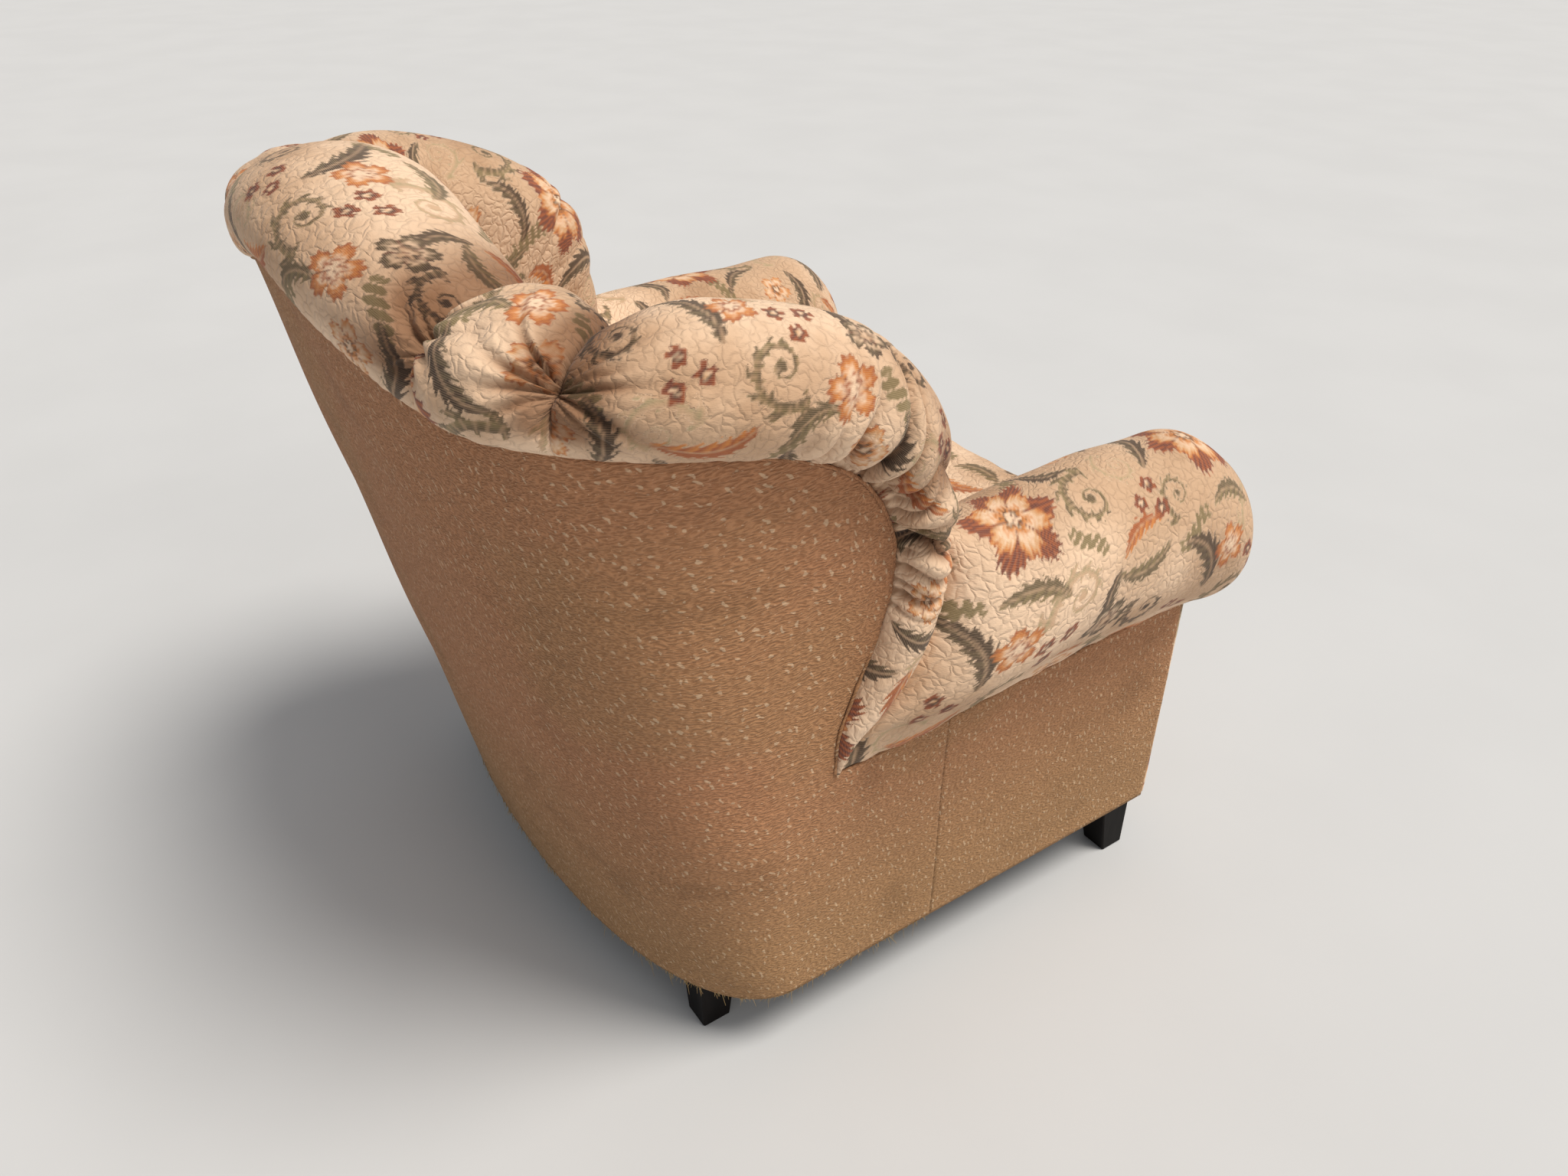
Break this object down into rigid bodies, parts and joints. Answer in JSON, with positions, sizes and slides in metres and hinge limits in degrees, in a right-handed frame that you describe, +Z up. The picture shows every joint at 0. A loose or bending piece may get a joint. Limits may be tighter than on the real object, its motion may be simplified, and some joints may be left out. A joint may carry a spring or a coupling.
{
  "type": "rolled-arm wing armchair",
  "caption": "Old upholstered armchair with channelled wing back, fat rolled arms, sunken sprung seat, plain plush outside and tapered block legs",
  "frame": {"origin": "on the floor under the middle of the chair", "axes": "+Z up, the sitter faces -Y, +X to the left of the sitter"},
  "size_m": [0.918, 0.891, 0.906],
  "materials": {
    "floral_tapestry": "quilted tapestry weave with scrolling leaves and flowers, matt and lightly soiled",
    "plush_cover": "short rippled plush with pale comma flecks, worn and frayed at the hem",
    "stained_wood": "black-brown stain, scuffed satin",
    "beech_frame": "plain sawn beech, hidden",
    "jute_webbing": "jute webbing, hidden",
    "hessian": "hessian canvas, hidden",
    "black_cambric": "thin black dust cover",
    "spring_steel": "dull drawn wire, hidden"
  },
  "bodies": {
    "root": {"back_canvas": "hessian", "back_seat_rail": "beech_frame", "back_stuff_rail": "beech_frame", "back_webbing": "jute_webbing", "centre_channel": "floral_tapestry", "dust_cover": "black_cambric", "front_border": "floral_tapestry", "front_seat_rail": "beech_frame", "left_arm_board": "beech_frame", "left_arm_facing": "floral_tapestry", "left_arm_pad": "floral_tapestry", "left_arm_stuff_rail": "beech_frame", "left_back_post": "beech_frame", "left_corner_channel": "floral_tapestry", "left_front_arm_stump": "beech_frame", "left_front_corner_block": "beech_frame", "left_front_leg": "stained_wood", "left_outside_arm_cover": "plush_cover", "left_rear_arm_stump": "beech_frame", "left_rear_corner_block": "beech_frame", "left_rear_leg": "stained_wood", "left_seat_rail": "beech_frame", "left_wing": "floral_tapestry", "left_wing_board": "beech_frame", "outside_back_cover": "plush_cover", "right_arm_board": "beech_frame", "right_arm_facing": "floral_tapestry", "right_arm_pad": "floral_tapestry", "right_arm_stuff_rail": "beech_frame", "right_back_post": "beech_frame", "right_corner_channel": "floral_tapestry", "right_front_arm_stump": "beech_frame", "right_front_corner_block": "beech_frame", "right_front_leg": "stained_wood", "right_outside_arm_cover": "plush_cover", "right_rear_arm_stump": "beech_frame", "right_rear_corner_block": "beech_frame", "right_rear_leg": "stained_wood", "right_seat_rail": "beech_frame", "right_wing": "floral_tapestry", "right_wing_board": "beech_frame", "seat_canvas": "hessian", "seat_pad": "floral_tapestry", "seat_spring_1": "spring_steel", "seat_spring_2": "spring_steel", "seat_spring_3": "spring_steel", "seat_spring_4": "spring_steel", "seat_spring_5": "spring_steel", "seat_spring_6": "spring_steel", "seat_spring_7": "spring_steel", "seat_spring_8": "spring_steel", "seat_spring_9": "spring_steel", "seat_webbing": "jute_webbing", "top_back_rail": "beech_frame"}
  },
  "joints": []
}
